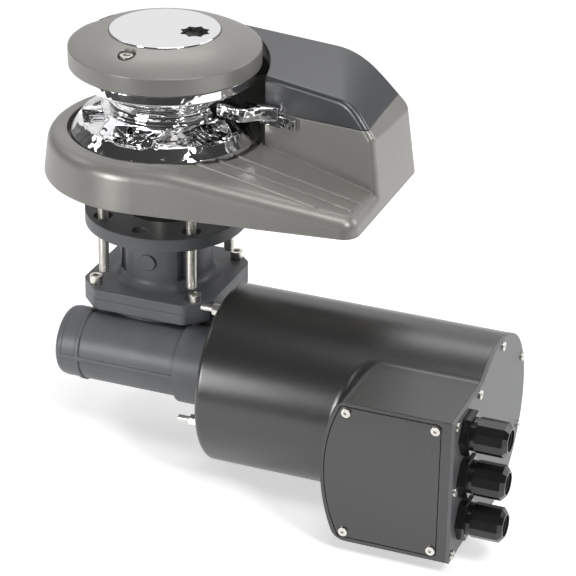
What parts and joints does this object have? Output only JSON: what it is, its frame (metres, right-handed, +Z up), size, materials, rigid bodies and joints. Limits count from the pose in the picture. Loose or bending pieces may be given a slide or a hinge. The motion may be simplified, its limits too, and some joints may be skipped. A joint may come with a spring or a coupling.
{
  "type": "anchor windlass",
  "caption": "Vertical anchor windlass: chain gypsy and domed cap on a deck base with a chain cover, and below the deck a neck, a worm gearbox and an electric motor with a junction box.",
  "frame": {"origin": "on the main shaft's axis, in the plane of the deck, which is the underside of the base", "axes": "+Z up along the main shaft, +X towards the tail of the base and along the motor, the junction box is on the -Y side"},
  "size_m": [0.414, 0.2501, 0.3187],
  "materials": {
    "titanium_satin": "satin, fine metallic",
    "dark_plastic": "satin moulded",
    "chromed_bronze": "bright, slightly worn",
    "bronze": "machined",
    "stainless": "bright machined",
    "slate_paint": "semi-gloss paint on a casting",
    "black_rubber": "matt",
    "ground_steel": "ground",
    "bell_alloy": "as cast",
    "yoke_steel": "zinc plated",
    "magnet_ferrite": "sintered",
    "holder_plastic": "moulded",
    "carbon": "sintered",
    "black_cover": "fine textured satin",
    "grey_plate": "satin",
    "black_gloss": "gloss",
    "friction_steel": "turned",
    "mirror_steel": "mirror polished",
    "core_steel": "stacked sheets",
    "copper": "enamelled or turned"
  },
  "bodies": {
    "frame": {"deck_base": "titanium_satin", "chain_cover": "dark_plastic", "chain_stripper": "chromed_bronze", "base_bush": "bronze", "deck_studs": "stainless", "neck_housing": "slate_paint", "shaft_seal": "black_rubber", "upper_bearing": "ground_steel", "lower_bearing": "ground_steel", "neck_screws": "stainless", "gearbox_case": "slate_paint", "worm_end_cap": "slate_paint", "worm_bearings": "ground_steel", "motor_adapter": "slate_paint", "adapter_screws": "stainless", "motor_bolts": "stainless", "rotor_bearings": "ground_steel", "front_bell": "bell_alloy", "rear_bell": "bell_alloy", "stator_yoke": "yoke_steel", "magnets": "magnet_ferrite", "brush_holder": "holder_plastic", "brushes": "carbon", "motor_cover": "black_cover", "terminal_lid": "black_cover", "lid_screws": "stainless", "end_plate": "grey_plate", "end_plate_screws": "stainless", "terminal_block": "holder_plastic", "terminal_studs": "bronze", "gland_bodies": "black_gloss", "gland_nuts": "black_gloss", "gland_seals": "black_rubber", "gland_lock_nuts": "black_gloss"},
    "drive": {"main_shaft": "stainless", "wheel_key": "ground_steel", "clutch_key": "ground_steel", "worm_wheel": "bronze", "lower_cone": "friction_steel", "clutch_spring": "ground_steel"},
    "gypsy": {"gypsy": "chromed_bronze"},
    "clutch": {"upper_cone": "friction_steel"},
    "cap": {"cap": "titanium_satin", "cap_disc": "mirror_steel", "cap_lock_screw": "stainless"},
    "rotor": {"worm_shaft": "ground_steel", "shaft_coupling": "friction_steel", "rotor_shaft": "ground_steel", "armature_core": "core_steel", "armature_winding": "copper", "commutator": "copper"}
  },
  "joints": [
    {"name": "motor_spin", "type": "hinge", "parent": "frame", "child": "rotor", "pos_m": [0, -0.05, -0.1383], "axis": [1, 0, 0], "continuous": true},
    {"name": "shaft_spin", "type": "hinge", "parent": "frame", "child": "drive", "pos_m": [0, 0, 0], "axis": [0, 0, 1], "continuous": true},
    {"name": "gypsy_free", "type": "hinge", "parent": "drive", "child": "gypsy", "pos_m": [0, 0, 0], "axis": [0, 0, 1], "continuous": true},
    {"name": "cone_lift", "type": "slide", "parent": "drive", "child": "clutch", "axis": [0, 0, 1], "range_m": [0, 0.0016], "deforming": ["clutch_spring"]},
    {"name": "cap_turn", "type": "hinge", "parent": "clutch", "child": "cap", "pos_m": [0, 0, 0], "axis": [0, 0, 1], "range_deg": [0, 180]}
  ],
  "couplings": [
    {"joint": "shaft_spin", "follows": "motor_spin", "ratio": -0.026316},
    {"joint": "cone_lift", "follows": "cap_turn", "m_per_rad": 0.00047746}
  ]
}
